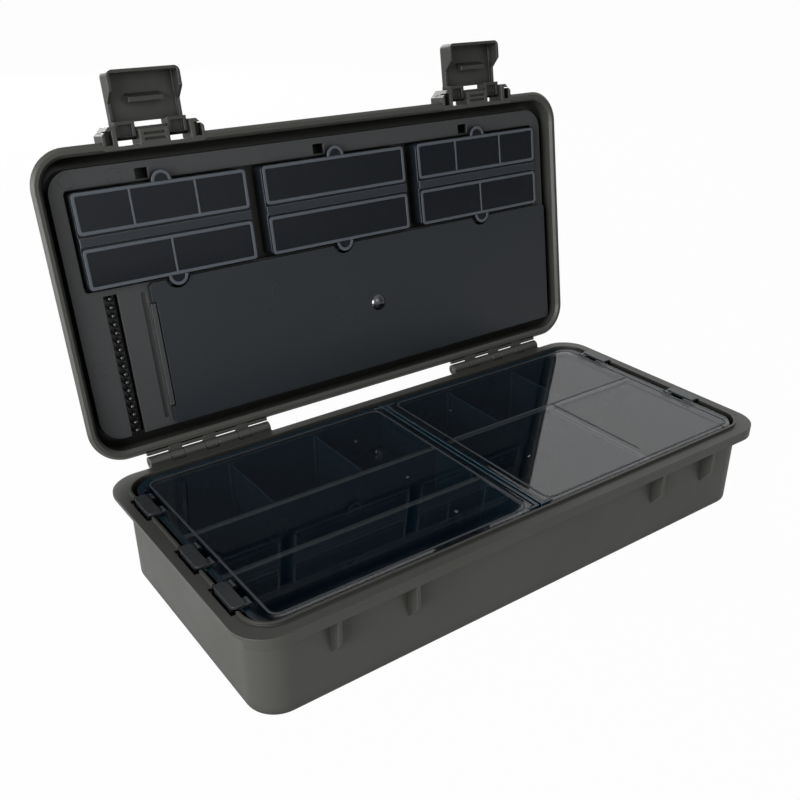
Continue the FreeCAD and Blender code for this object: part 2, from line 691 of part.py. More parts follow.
# ---- Snap clips: a rounded tab on two ears, with a leg and a toe that catch under the tray rim
def make_clip(side, word, place):
    tag = f"{word}_{place}"
    middle = CLIP_Y[tag]
    y = around(middle, "clip_length/2")
    leg_y = around(middle, "clip_length/2 - clip_corner")
    tab_x = span(side, f"{CLIP_X} + clip_barrel + clip_top", CLIP_OUT_X)
    toe_x = span(side, f"{CLIP_LEG_X} - clip_toe", f"{CLIP_LEG_X} + clip_leg/2")
    ear_x = span(side, CLIP_X, f"{CLIP_X} + 2*clip_corner + clip_top")
    toe_low = f"({CLIP_TOE_TOP} - clip_toe_thick)"
    pivot = (f"{side}*{CLIP_X}", CLIP_Z)
    pieces = [slab(f"clip_tab_{tag}", tab_x, y, (f"{CLIP_TOP_Z} - clip_top", CLIP_TOP_Z), "clip_corner"),
              block(f"clip_leg_{tag}", span(side, CLIP_LEG_X, CLIP_OUT_X), leg_y,
                    (toe_low, f"{CLIP_TOP_Z} - clip_top/2")),
              block(f"clip_toe_{tag}", toe_x, leg_y, (toe_low, CLIP_TOE_TOP))]
    bores = []
    for end in (-1, 1):
        outer = f"({middle} + {end}*clip_length/2)"
        inner = f"({middle} + {end}*(clip_length/2 - clip_ear))"
        ear_y = (inner, outer) if end > 0 else (outer, inner)
        pieces.append(rod(f"clip_eye_{tag}_{end + 2}", "y", ear_y, pivot, "clip_barrel"))
        pieces.append(block(f"clip_ear_{tag}_{end + 2}", ear_x, ear_y,
                            (f"{CLIP_Z} - clip_barrel/2", f"{CLIP_TOP_Z} - clip_top/2")))
        bore_y = (f"{ear_y[0]} - clip_play", f"{ear_y[1]} + clip_play")
        bores.append(rod(f"clip_bore_{tag}_{end + 2}", "y", bore_y, pivot, "clip_stub + pin_play"))
    keep(f"clip_{tag}", cut(f"clip_{tag}", fuse(f"clip_solid_{tag}", pieces), bores))


# ---- Lid moulding: a dish with a flat flange, three knuckles a hinge and two latch housings
def house_parts(side, word):
    """The latch housing's blocks, and the slots and pockets cut into it."""
    centre = f"({side}*latch_offset)"
    left, right = around(centre, "house_half")
    through = ("-2*house_depth", "house_depth")
    shoulder = f"{HOUSE_FAR} - house_chamfer"
    solids = [prism(f"house_{word}", "XY_Plane", "-house_depth", "house_depth", [
                  (left, HOUSE_ROOT), (right, HOUSE_ROOT),
                  (right, shoulder), (f"{right} - house_chamfer", HOUSE_FAR),
                  (f"{left} + house_chamfer", HOUSE_FAR), (left, shoulder)]),
              slab(f"house_bar_{word}", (left, right), (BAR_NEAR, f"{LID_FAR} - lid_wall/2"),
                   ("-house_bar_thick", "0"), "house_bar_thick")]
    middle = around(centre, "house_slot_in + pin_end")
    holes = [block(f"house_gap_{word}", middle,
                   (f"{LID_FAR} + house_middle", f"{HOUSE_FAR} + wall"), through),
             block(f"house_notch_{word}", middle,
                   (f"{LATCH_Y} + flap_back - flap_skin - latch_room", f"{HOUSE_FAR} + wall"),
                   ("-latch_sink + house_step", "house_depth")),
             rod(f"latch_bore_{word}", "x", around(centre, "latch_pin_half + pin_end"),
                 (LATCH_Y, "-latch_sink"), "latch_pin_radius + pin_play")]
    for hand in (-1, 1):
        tag = f"{word}_{hand + 2}"
        arm_x = offsets(centre, hand, "house_slot_in", "house_slot_out")
        pocket_x = offsets(centre, hand, "house_pocket_in", "house_pocket_out")
        holes.append(block(f"house_slot_{tag}", arm_x,
                           (f"{HOUSE_NEAR} + knuckle_gap", f"{HOUSE_FAR} + wall"), through))
        holes.append(block(f"house_pocket_{tag}", pocket_x,
                           (f"{LID_FAR} - lid_wall", f"{HOUSE_FAR} - lid_wall"),
                           ("-house_pocket_deep", "house_depth")))
    for step in (0, 1):
        low = f"({LID_FAR} - house_groove + {2*step}*house_groove)"
        holes.append(block(f"house_line_{word}_{step + 1}", around(centre, "house_groove_half"),
                           (low, f"{low} + house_groove"), ("-house_groove", "house_depth")))
    return solids, holes


def make_lid_shell():
    def inset(amount_in, corner):
        y = (f"lid_near + {amount_in}", f"{LID_FAR} - ({amount_in})")
        return around("0", f"{LID_X} - ({amount_in})"), y, corner

    body = doc.addObject("PartDesign::Body", "lid_moulding")
    dish = inset("lid_wall_inset", "lid_corner - lid_wall_inset")
    mouth = inset(SHELL_INSET, f"lid_corner - {SHELL_INSET}")
    pad(body, outline(body, "lid_dish", "-lid_depth", dish), "lid_depth")
    pad(body, outline(body, "lid_flange", "-lid_flange_thick", inset("0", "lid_corner")), "lid_flange_thick")
    doc.recompute()
    hollow = pocket(body, outline(body, "lid_hollow", "0", mouth), "lid_depth - lid_wall")
    cove = body.newObject("PartDesign::Fillet", "lid_cove")
    cove.Base = (hollow, edges_at(hollow, SIZES["lid_wall"] - SIZES["lid_depth"]))
    tie(cove, "Radius", "lid_round - lid_wall")
    doc.recompute()
    crown = body.newObject("PartDesign::Fillet", "lid_crown")
    crown.Base = (cove, edges_at(cove, -SIZES["lid_depth"]))
    tie(crown, "Radius", "lid_round")
    doc.recompute()
    bevel = body.newObject("PartDesign::Chamfer", "lid_mouth")
    mouth_x = amount(f"{LID_X} - {SHELL_INSET}")
    bevel.Base = (crown, [name for name in edges_at(crown, 0.0) if widest(crown, name) < mouth_x + TOUCH])
    tie(bevel, "Size", "lid_bevel")

    additions = [body]
    holes = []
    for side, word in ((-1, "left"), (1, "right")):
        solids, gaps = house_parts(side, word)
        additions += solids
        holes += gaps
        hinge = f"({side}*hinge_offset)"
        for index in range(int(SIZES["base_knuckles"]) - 1):
            shift = index - (SIZES["base_knuckles"] - 2) / 2
            x = around(f"{hinge} + {shift}*{KNUCKLE_PITCH}", "knuckle_slot/2 - knuckle_gap")
            tag = f"{word}_{index + 1}"
            additions.append(rod(f"lid_knuckle_{tag}", "x", x, ("0", "0"), "knuckle_radius"))
            additions.append(block(f"lid_arm_{tag}", x, ("0", "lid_near + lid_wall/2"),
                                   ("-lid_flange_thick", "0")))
        holes.append(rod(f"lid_hinge_hole_{word}", "x", around(hinge, HINGE_HALF), ("0", "0"),
                         "hinge_pin_radius + pin_play"))
        pin_x = around(f"{side}*latch_offset", "latch_pin_half")
        pin = shaft(f"latch_pin_{word}", pin_x, (LATCH_Y, "-latch_sink"), "latch_pin_radius")
        keep(f"latch_pin_{word}", on_lid(pin))
    keep("lid_shell", on_lid(cut("lid_shell", fuse("lid_solid", additions), holes)))


# ---- Liner: a skirted platform on the lid's floor, with the box recess, panel window, rack slot and rail
def make_liner():
    body = doc.addObject("PartDesign::Body", "liner_moulding")
    plate = (around("0", PLATE_X), (PLATE_NEAR, PLATE_FAR), "plate_corner")
    within = (around("0", f"{PLATE_X} - skirt_wall"),
              (f"{PLATE_NEAR} + skirt_wall", f"{PLATE_FAR} - skirt_wall"), "plate_corner - skirt_wall")
    pad(body, outline(body, "liner_platform", BOX_LOW, plate), f"-{BOX_LOW} - plate_drop")
    doc.recompute()
    pocket(body, outline(body, "liner_hollow", f"-{PLATE_UNDER}", within), f"-{BOX_LOW} - {PLATE_UNDER}")
    face = "-plate_drop"
    windows = [
        (around("0", RECESS_X), (RECESS_NEAR, RECESS_FAR), "box_corner"),
        ((f"{PANEL_LEFT} + panel_lap", f"{PANEL_RIGHT} - panel_lap"),
         (f"{PANEL_NEAR} + panel_lap", f"{RECESS_NEAR} - recess_bar"), "box_corner")]
    for index in (-1, 0, 1):
        catch = f"{index}*{BOX_PITCH} - catch_shift"
        windows.append((around(catch, "catch_width/2"),
                        (f"{RECESS_FAR} + panel_gap", f"{RECESS_FAR} + catch_height"), "rack_play"))
    pocket(body, outline(body, "liner_windows", face, *windows), "plate_thick")
    slot = (around(RACK_X, "rack_width/2"), (RACK_LOW, RACK_HIGH), "rack_play")
    pocket(body, outline(body, "liner_slot", face, slot), f"-{BOX_LOW} - plate_drop")
    groove = ((f"{RAIL_LEFT} - groove_gap - groove_width", f"{RAIL_LEFT} - groove_gap"),
              (f"{PANEL_NEAR} + panel_lap", f"{PANEL_FAR} - panel_lap"), "rack_play")
    pocket(body, outline(body, "liner_groove", face, groove), "groove_depth")
    rail = ((RAIL_LEFT, RAIL_RIGHT),
            (f"{PANEL_NEAR} + relief_end - rail_end", f"{PANEL_FAR} - relief_end + rail_end"), "rack_play")
    pad(body, outline(body, "liner_rail", f"-{PLATE_UNDER}", rail), "plate_thick + rail_rise")
    keep("lid_liner", on_lid(body))


# ---- Hook rack: a bar standing on the lid's floor, with a row of domed pegs
def make_rack():
    bar_top = f"(-{PLATE_UNDER} - rack_step)"
    pieces = [block("rack_bar", around(RACK_X, "rack_width/2 - rack_play"),
                    (f"{RACK_LOW} + rack_play", f"{RACK_HIGH} - rack_play"), (BOX_LOW, bar_top))]
    dome = "(-plate_drop + peg_sink - peg_radius)"
    room = amount(f"{RACK_HIGH} - {RACK_LOW} - peg_first - peg_radius - rack_play")
    for index in range(int(room / SIZES["peg_pitch"]) + 1):
        y = f"{RACK_LOW} + peg_first + {index}*peg_pitch"
        pieces.append(rod(f"peg_{index + 1}", "z", (BOX_LOW, dome), (RACK_X, y), "peg_radius"))
        ball = doc.addObject("Part::Sphere", f"peg_dome_{index + 1}")
        tie(ball, "Radius", "peg_radius")
        for axis, place in zip("xyz", (RACK_X, y, dome)):
            tie(ball, f"Placement.Base.{axis}", place)
        pieces.append(ball)
    keep("hook_rack", on_lid(fuse("hook_rack", pieces)))


# ---- Bit boxes: shallow boxes split by a centre bar, each half under its own flip lid
def make_bit_box(index, word):
    centre = f"({index}*{BOX_PITCH})"
    x = around(centre, f"{BOX_LENGTH}/2")
    inner_x = around(centre, f"{BOX_LENGTH}/2 - box_wall")
    floor = f"({BOX_LOW} + box_floor)"
    bowl = slab(f"bit_bowl_{word}", x, (BOX_NEAR, BOX_FAR), (BOX_LOW, BOX_RIM), "box_corner")
    hollow = slab(f"bit_hollow_{word}", inner_x, (f"{BOX_NEAR} + box_wall", f"{BOX_FAR} - box_wall"),
                  (floor, "0"), "box_corner - box_wall")
    bar = (f"{BOX_MIDDLE} - box_bar/2", f"{BOX_MIDDLE} + box_bar/2")
    pieces = [cut(f"bit_tray_{word}", bowl, [hollow]),
              block(f"bit_bar_{word}", x, bar, (BOX_LOW, "-box_face"))]
    cells = () if word == "middle" else ((-1, "far"), (1, "far"), (0, "near"))
    for place, row in cells:
        wall_x = around(f"{centre} + {place}*box_cell_offset", "box_divider/2")
        y = (bar[1], f"{BOX_FAR} - box_wall/2") if row == "far" else (f"{BOX_NEAR} + box_wall/2", bar[0])
        pieces.append(block(f"bit_cell_{word}_{row}_{place + 2}", wall_x, y, (BOX_LOW, BOX_RIM)))
    keep(f"bit_box_{word}", on_lid(fuse(f"bit_box_{word}", pieces)))

    z = ("-(box_face + box_lid_thick)", "-box_face")
    for row, y, edge in (("upper", (f"{bar[1]} + box_lid_gap", BOX_FAR), BOX_FAR),
                         ("lower", (BOX_NEAR, f"{bar[0]} - box_lid_gap"), BOX_NEAR)):
        flip = slab(f"flip_plate_{word}_{row}", x, y, z, "box_lid_thick")
        tab = rod(f"flip_tab_{word}_{row}", "z", z, (centre, edge), "tab_radius")
        keep(f"flip_{word}_{row}", on_lid(fuse(f"flip_{word}_{row}", [flip, tab])))


# ---- Panel: a lift-off cover over the storage space, with its domed knob
def make_panel():
    plate = slab("panel_plate", (PANEL_LEFT, PANEL_RIGHT), (PANEL_NEAR, PANEL_FAR),
                 (PANEL_UNDER, PANEL_FACE), "panel_corner")
    through = ("-lid_depth", "0")
    relief_y = (f"{PANEL_NEAR} + relief_end - 2*rail_end", f"{PANEL_FAR} - relief_end + 2*rail_end")
    holes = [block("panel_relief", (f"{PANEL_LEFT} - panel_gap", f"{PANEL_LEFT} + relief_depth"),
                   relief_y, through),
             rod("knob_bore", "z", through, (KNOB_X, KNOB_Y), "stem_radius + pin_play")]
    for index in (-1, 0, 1):
        holes.append(rod(f"tab_relief_{index + 2}", "z", through, (f"{index}*{BOX_PITCH}", BOX_NEAR),
                         "tab_radius + tab_clearance"))
    keep("lid_panel", on_lid(cut("lid_panel", plate, holes)))

    seat = f"({PANEL_FACE} + knob_gap)"
    ball_radius = "((knob_radius^2 + knob_rise^2)/(2*knob_rise))"
    ball = doc.addObject("Part::Sphere", "knob_ball")
    tie(ball, "Radius", ball_radius)
    for axis, place in zip("xyz", (KNOB_X, KNOB_Y, f"{seat} + knob_rise - {ball_radius}")):
        tie(ball, f"Placement.Base.{axis}", place)
    above = rod("knob_above", "z", (seat, f"{seat} + 2*knob_rise"), (KNOB_X, KNOB_Y), "knob_radius")
    washer_top = f"({PANEL_UNDER} - knob_gap)"
    washer_low = f"({washer_top} - washer_thick)"
    pieces = [common("knob_dome", ball, above),
              rod("knob_stem", "z", (washer_low, f"{seat} + knob_rise/2"), (KNOB_X, KNOB_Y), "stem_radius"),
              rod("knob_washer", "z", (washer_low, washer_top), (KNOB_X, KNOB_Y), "washer_radius")]
    keep("panel_knob", on_lid(fuse("panel_knob", pieces)))


# ---- Latch flaps: a cheeked cover on two cored arms, with a hook for the tub's lip
def make_latch(side, word):
    centre = f"({side}*latch_offset)"
    wide = around(centre, "flap_half")
    start = f"({LATCH_Y} + flap_start)"
    hook = f"({LATCH_Y} + hook_start)"
    hook_root = f"{FLAP_BACK} + flap_skin/2"
    hook_tip = "-latch_sink + hook_reach"
    low = f"({LATCH_Y} - arm_low)"
    arm_end = f"{start} + flap_skin/2"
    arm_back = "(-latch_sink - arm_back)"
    arm_front = "(-latch_sink + arm_front)"
    pieces = [block(f"flap_plate_{word}", wide, (start, FLAP_END), (FLAP_BACK, f"{FLAP_BACK} + flap_skin")),
              block(f"flap_end_{word}", wide, (f"{FLAP_END} - flap_skin", FLAP_END), (FLAP_BACK, FLAP_FRONT)),
              prism(f"flap_hook_{word}", "YZ_Plane", f"{centre} - hook_half", "2*hook_half", [
                  (hook, hook_root), (f"{hook} + hook_thick", hook_root),
                  (f"{hook} + hook_thick/2", hook_tip), (hook, hook_tip)])]
    holes = [rod(f"flap_bore_{word}", "x", around(centre, "house_half"), (LATCH_Y, "-latch_sink"),
                 "latch_pin_radius + pin_play")]
    for hand in (-1, 1):
        tag = f"{word}_{hand + 2}"
        cheek_x = offsets(centre, hand, "flap_half - flap_skin", "flap_half")
        arm_x = offsets(centre, hand, "flap_inner", "flap_half")
        core_x = offsets(centre, hand, "flap_inner + arm_pocket_wall", "flap_half - arm_pocket_wall")
        pieces.append(prism(f"flap_cheek_{tag}", "YZ_Plane", cheek_x[0], "flap_skin", [
            (start, FLAP_BACK), (FLAP_END, FLAP_BACK), (FLAP_END, FLAP_FRONT),
            (f"{FLAP_END} - flap_length/3", FLAP_FRONT), (hook, FLAP_LIP), (start, FLAP_LIP)]))
        pieces.append(prism(f"flap_arm_{tag}", "YZ_Plane", arm_x[0], "flap_half - flap_inner", [
            (low, f"{arm_back} + arm_chamfer"), (f"{low} + arm_chamfer", arm_back),
            (arm_end, arm_back), (arm_end, arm_front),
            (f"{low} + arm_chamfer", arm_front), (low, f"{arm_front} - arm_chamfer")]))
        holes.append(block(f"flap_core_{tag}", core_x, (f"{low} + arm_pocket_wall", f"{start} - flap_skin/2"),
                           (f"{arm_front} - arm_pocket_deep", "house_depth")))
    bounds = slab(f"flap_bounds_{word}", wide, (f"{LATCH_Y} - 2*arm_low", FLAP_END),
                  ("-2*house_depth", "house_depth"), "flap_corner")
    whole = common(f"flap_whole_{word}", fuse(f"flap_solid_{word}", pieces), bounds)
    keep(f"latch_{word}", on_lid(cut(f"latch_{word}", whole, holes)))


CLIPS = [(-1, "left", "back"), (-1, "left", "middle"), (-1, "left", "front"),
         (1, "right", "back"), (1, "right", "front")]

make_tub()
make_lid_shell()
make_liner()
make_rack()
make_panel()
for hand, word in ((-1, "left"), (1, "right")):
    make_tray(hand, word)
    make_tray_lid(hand, word)
    make_latch(hand, word)
for clip in CLIPS:
    make_clip(*clip)
for index, word in ((-1, "left"), (0, "middle"), (1, "right")):
    make_bit_box(index, word)
doc.recompute()

for item in doc.Objects:
    if {"Invalid", "Error"} & set(item.State):
        raise ValueError(f"{item.Label} did not build: {item.State}")
for node, made in nodes.items():
    if made.Shape.isNull() or not made.Shape.isValid() or not made.Shape.Solids:
        raise ValueError(f"{node} is not a valid solid")
for node, made in nodes.items():
    made.Shape.exportStep(f"parts/{node}.step")
    print(node, len(made.Shape.Solids), round(made.Shape.Volume), made.Shape.BoundBox)
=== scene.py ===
import json
import math
import bmesh
import bpy
from mathutils import Matrix, Vector


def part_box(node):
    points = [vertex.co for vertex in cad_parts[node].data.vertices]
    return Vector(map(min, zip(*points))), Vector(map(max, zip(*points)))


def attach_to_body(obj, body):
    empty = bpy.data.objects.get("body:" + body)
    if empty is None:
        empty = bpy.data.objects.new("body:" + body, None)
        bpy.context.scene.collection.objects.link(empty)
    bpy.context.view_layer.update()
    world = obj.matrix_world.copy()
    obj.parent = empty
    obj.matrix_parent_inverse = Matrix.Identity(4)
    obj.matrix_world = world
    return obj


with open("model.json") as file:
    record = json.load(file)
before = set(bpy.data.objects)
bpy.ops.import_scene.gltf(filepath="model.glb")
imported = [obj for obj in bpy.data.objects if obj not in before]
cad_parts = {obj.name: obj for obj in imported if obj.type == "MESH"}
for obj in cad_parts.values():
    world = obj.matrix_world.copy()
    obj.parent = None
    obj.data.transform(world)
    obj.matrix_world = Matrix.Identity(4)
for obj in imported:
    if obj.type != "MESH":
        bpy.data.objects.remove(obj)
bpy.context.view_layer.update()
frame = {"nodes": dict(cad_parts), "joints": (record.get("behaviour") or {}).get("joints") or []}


# ---- The tub and the lid moulding
# Injection-moulded polypropylene with a spark-eroded mould face: satin and finely grained. Its edges are
# painted lighter as a painted highlight, and its hollow corners darker as painted shade. The grain is drawn
# coarser than the real one, so that it shows.
MM = 0.001
CLOUD_SIZE = 45.0 * MM
# The near-black colour of the painted shade in hollow corners.
PAINTED_SHADE_COLOUR = "060606"

# A colour Mix node's sockets go by number, because several of them share a name.
MIX_FACTOR, MIX_FIRST, MIX_SECOND, MIXED = 0, 6, 7, 2


def linear(colour):
    """The linear RGBA of an sRGB hex colour such as 4a4b45."""
    parts = [int(colour[place:place + 2], 16) / 255 for place in (0, 2, 4)]
    return [part / 12.92 if part <= 0.04045 else ((part + 0.055) / 1.055) ** 2.4 for part in parts] + [1.0]


def wire(tree, node, inputs):
    """Link each input that is given a socket, and set each other one to its constant."""
    for name, value in inputs.items():
        if isinstance(value, bpy.types.NodeSocket):
            tree.links.new(value, node.inputs[name])
        else:
            node.inputs[name].default_value = value


def add(tree, kind, inputs=None, **settings):
    """One node with its settings, its constant inputs and its links."""
    node = tree.nodes.new(kind)
    for name, value in settings.items():
        setattr(node, name, value)
    wire(tree, node, inputs or {})
    return node


def blank(name):
    """A new material, its node tree and its Principled shader."""
    finish = bpy.data.materials.new(name)
    finish.use_nodes = True
    return finish, finish.node_tree, finish.node_tree.nodes["Principled BSDF"]


def moulded(name, colour, cloud, edge_highlight, roughness, grain, depth, edge, ior=1.49, reach=12.0):
    """A grained thermoplastic: clouded colour, edges painted paler as a painted highlight, hollow corners
    darkened as painted shade and a fine bump. The size and depth of the grain, the radius of a rounded
    edge and the reach of the painted shade are in mm."""
    finish, tree, shader = blank(name)
    place = add(tree, "ShaderNodeTexCoord").outputs["Object"]
    clouds = add(tree, "ShaderNodeTexNoise", {"Vector": place, "Scale": 1 / CLOUD_SIZE, "Detail": 4.0})
    specks = add(tree, "ShaderNodeTexNoise", {"Vector": place, "Scale": 1 / (grain * MM), "Detail": 2.0})
    tone = add(tree, "ShaderNodeMix", {MIX_FACTOR: clouds.outputs["Fac"], MIX_FIRST: linear(colour),
                                       MIX_SECOND: linear(cloud)}, data_type="RGBA")
    turned = add(tree, "ShaderNodeBevel", {"Radius": edge * MM}, samples=4)
    facing = add(tree, "ShaderNodeNewGeometry").outputs["Normal"]
    bend = add(tree, "ShaderNodeVectorMath", {0: turned.outputs["Normal"], 1: facing},
               operation="DOT_PRODUCT")
    # Painted highlight: edges, found where the rounded normal bends away from the true one, are painted
    # paler.
    edge_highlight_mask = add(tree, "ShaderNodeMapRange", {"Value": bend.outputs["Value"], "From Min": 0.97,
                                           "From Max": 0.72, "To Min": 0.0, "To Max": 0.6})
    paler = add(tree, "ShaderNodeMix", {MIX_FACTOR: edge_highlight_mask.outputs["Result"], MIX_FIRST: tone.outputs[MIXED],
                                        MIX_SECOND: linear(edge_highlight)}, data_type="RGBA")
    # Painted shade: ambient occlusion paints hollow corners towards a near-black colour, where shade falls.
    corner = add(tree, "ShaderNodeAmbientOcclusion", {"Distance": reach * MM}, samples=6)
    painted_shade = add(tree, "ShaderNodeMapRange", {"Value": corner.outputs["AO"], "From Min": 0.25,
                                            "From Max": 0.85, "To Min": 0.92, "To Max": 0.0})
    darker = add(tree, "ShaderNodeMix", {MIX_FACTOR: painted_shade.outputs["Result"], MIX_FIRST: paler.outputs[MIXED],
                                         MIX_SECOND: linear(PAINTED_SHADE_COLOUR)}, data_type="RGBA")
    sheen = add(tree, "ShaderNodeMapRange", {"Value": clouds.outputs["Fac"], "From Min": 0.3, "From Max": 0.7,
                                             "To Min": roughness - 0.04, "To Max": roughness + 0.04})
    bump = add(tree, "ShaderNodeBump", {"Height": specks.outputs["Fac"], "Distance": depth * MM,
                                        "Strength": 1.0, "Normal": turned.outputs["Normal"]})
    wire(tree, shader, {"IOR": ior, "Base Color": darker.outputs[MIXED],
                        "Roughness": sheen.outputs["Result"], "Normal": bump.outputs["Normal"]})
    return finish


def dress(finish, *names):
    """Give CAD nodes one finish."""
    for name in names:
        node = frame["nodes"][name]
        node.data.materials.clear()
        node.data.materials.append(finish)


case_plastic = moulded("grained_polypropylene_case", colour="41423e", cloud="3a3a36", edge_highlight="63635d",
                       roughness=0.42, grain=0.6, depth=0.02, edge=0.6)
dress(case_plastic, "base_tub", "lid_shell")


# ---- The pockets beside the snap clips
# The tub is notched beside each snap clip, which gives the clip's leg room to swing. A thin pocket, moulded
# in one piece with the tub, closes each notch under the flange on three sides and from below.
POCKET_SKIN = 1.1 * MM
POCKET_UNDER, POCKET_OVER = 50.6 * MM, 51.7 * MM
POCKET_IN, POCKET_OUT = 187.8 * MM, 190.9 * MM
POCKET_HALF = 14.6 * MM
FLANGE_UNDER = 56.3 * MM
WALL_SOFTEN = POCKET_SKIN / 8
FLOOR_SOFTEN = POCKET_SKIN / 4


def band(mesh, outer, inner, height, soften, closed=True):
    """The band between two outlines, raised along Z with a rounded top edge. An open one has two ends."""
    ring = [mesh.verts.new(point) for point in outer]
    hole = [mesh.verts.new(point) for point in inner]
    faces = [mesh.faces.new((ring[place - 1], ring[place], hole[place], hole[place - 1]))
             for place in range(0 if closed else 1, len(ring))]
    lifted = bmesh.ops.extrude_face_region(mesh, geom=faces)["geom"]
    top = {item for item in lifted if isinstance(item, bmesh.types.BMVert)}
    bmesh.ops.translate(mesh, vec=(0.0, 0.0, height), verts=list(top))
    rim = [edge for edge in mesh.edges if set(edge.verts) <= top
           and any(not set(face.verts) <= top for face in edge.link_faces)]
    bmesh.ops.bevel(mesh, geom=rim, offset=soften, segments=3, profile=0.5, affect="EDGES", material=-1)


def soft_block(mesh, low, high, soften):
    """A block between two corners, rounded along every edge."""
    shape = Matrix.Translation((low + high) / 2) @ Matrix.Diagonal((*(high - low), 1.0))
    verts = bmesh.ops.create_cube(mesh, size=1.0, matrix=shape)["verts"]
    edges = list(dict.fromkeys(edge for vert in verts for edge in vert.link_edges))
    bmesh.ops.bevel(mesh, geom=edges, offset=soften, segments=2, profile=0.5, affect="EDGES", material=-1)


def attach(name, mesh, body, finish, turn=None):
    """A finished mesh as an object of its own, riding on a body."""
    bmesh.ops.transform(mesh, matrix=turn or Matrix.Identity(4), verts=mesh.verts)
    bmesh.ops.recalc_face_normals(mesh, faces=mesh.faces)
    data = bpy.data.meshes.new(name)
    mesh.to_mesh(data)
    mesh.free()
    data.materials.append(finish)
    made = bpy.data.objects.new(name, data)
    bpy.context.scene.collection.objects.link(made)
    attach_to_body(made, body)


for clip in sorted(name for name in frame["nodes"] if name.startswith("clip_")):
    low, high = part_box(clip)
    side = math.copysign(1.0, low.x)
    middle = (low.y + high.y) / 2
    near, far = middle - POCKET_HALF, middle + POCKET_HALF
    path = ((POCKET_IN, near), (POCKET_OUT, near), (POCKET_OUT, far), (POCKET_IN, far))
    inward = ((0.0, POCKET_SKIN), (-POCKET_SKIN, POCKET_SKIN),
              (-POCKET_SKIN, -POCKET_SKIN), (0.0, -POCKET_SKIN))
    outside = [Vector((side * x, y, POCKET_OVER)) for x, y in path]
    inside = [Vector((side * (x + dx), y + dy, POCKET_OVER)) for (x, y), (dx, dy) in zip(path, inward)]
    left, right = sorted((side * POCKET_IN, side * POCKET_OUT))
    pocket = bmesh.new()
    band(pocket, outside, inside, FLANGE_UNDER - POCKET_OVER, WALL_SOFTEN, closed=False)
    soft_block(pocket, Vector((left, near, POCKET_UNDER)), Vector((right, far, POCKET_OVER)), FLOOR_SOFTEN)
    attach(clip.replace("clip", "clip_pocket", 1), pocket, "tub", case_plastic)


# ---- The hinge strips
# The lid turns on two rows of moulded knuckles. A thin strip of the same moulding joins the lid's knuckles
# beside their pin and narrows the gaps between them.
STRIP_NEAR, STRIP_FAR = 4.4 * MM, 6.6 * MM
STRIP_UNDER, STRIP_OVER = -2.3 * MM, -0.1 * MM
STRIP_SOFTEN = 0.3 * MM
HINGE_OFFSET = 121.0 * MM
HINGE_HALF = 42.1 * MM
hinge = next(joint for joint in frame["joints"] if joint["name"] == "lid_hinge")

# Pieces on the lid are drawn as it lies on its back, from the hinge's axis, and lid_turn stands them up.
LEAN = math.pi + math.radians(hinge["range_deg"][0])
lid_turn = Matrix.Translation(hinge["pos_m"]) @ Matrix.Rotation(LEAN, 4, "X")
for side, word in ((-1, "left"), (1, "right")):
    strip = bmesh.new()
    soft_block(strip, Vector((side * HINGE_OFFSET - HINGE_HALF, STRIP_NEAR, STRIP_UNDER)),
               Vector((side * HINGE_OFFSET + HINGE_HALF, STRIP_FAR, STRIP_OVER)), STRIP_SOFTEN)
    attach(f"hinge_strip_{word}", strip, "lid", case_plastic, lid_turn)


# ---- The lid's liner
# A platform inside the lid, of the case's plastic from a smoother mould face, so its flat plate looks a shade
# paler. Three of the mould's ejector pins each left a thin raised ring on it.
liner_plastic = moulded("satin_polypropylene_liner", colour="3c3e3f", cloud="353637", edge_highlight="626564",
                        roughness=0.38, grain=0.9, depth=0.012, edge=0.5)
dress(liner_plastic, "lid_liner")
EJECTOR_RADIUS = 4.5 * MM
EJECTOR_RING = 0.45 * MM
EJECTOR_RISE = 0.12 * MM
PLATE_LEVEL = -8.0 * MM
CORNER_STEPS = 5

# The rings' centres on the lying lid, in mm.
EJECTORS = ((-174.0, 172.7), (-147.0, 172.0), (-178.0, 62.7))


def flat(x, y):
    """A point at level zero, from two sizes in mm."""
    return Vector((x, y, 0.0)) * MM


def both_ways(size):
    """The same step along X and along Y."""
    return Vector((size, size, 0.0))


def rounded(low, high, corner, level):
    """The points of a rounded rectangle, anticlockwise from the far right corner."""
    points = []
    for quarter, (right, far) in enumerate(((True, True), (False, True), (False, False), (True, False))):
        centre = Vector((high.x - corner if right else low.x + corner,
                         high.y - corner if far else low.y + corner, level))
        for step in range(CORNER_STEPS + 1):
            turn = (quarter + step / CORNER_STEPS) * math.pi / 2
            points.append(centre + corner * Vector((math.cos(turn), math.sin(turn), 0.0)))
    return points


for number, place in enumerate(EJECTORS, start=1):
    centre = flat(*place)
    low, high = centre - both_ways(EJECTOR_RADIUS), centre + both_ways(EJECTOR_RADIUS)
    outer = rounded(low, high, EJECTOR_RADIUS, PLATE_LEVEL)
    inner = rounded(low + both_ways(EJECTOR_RING), high - both_ways(EJECTOR_RING),
                    EJECTOR_RADIUS - EJECTOR_RING, PLATE_LEVEL)
    mark = bmesh.new()
    band(mark, outer, inner, EJECTOR_RISE, EJECTOR_RISE / 3)
    attach(f"ejector_ring_{number}", mark, "lid", liner_plastic, lid_turn)


# ---- The peg rack
# A bar with a row of short domed pegs, which hold hook lengths by their loops. It is black polypropylene from
# a polished mould, so each peg ends in a small bright point.
rack_plastic = moulded("glossy_black_rack", colour="121316", cloud="0d0e10", edge_highlight="50535a",
                       roughness=0.18, grain=0.8, depth=0.006, edge=0.4)
dress(rack_plastic, "hook_rack")


# ---- The latches
# Stiff nylon flaps in the case's colour, which hook under the tub's lip when the lid is shut. Their mould
# face is a little smoother than the case's, so they look sharper and slightly darker than it.
latch_plastic = moulded("satin_nylon_latch", colour="373735", cloud="2f2f2c", edge_highlight="676762",
                        roughness=0.38, grain=0.8, depth=0.012, edge=0.5)
dress(latch_plastic, "latch_left", "latch_right")


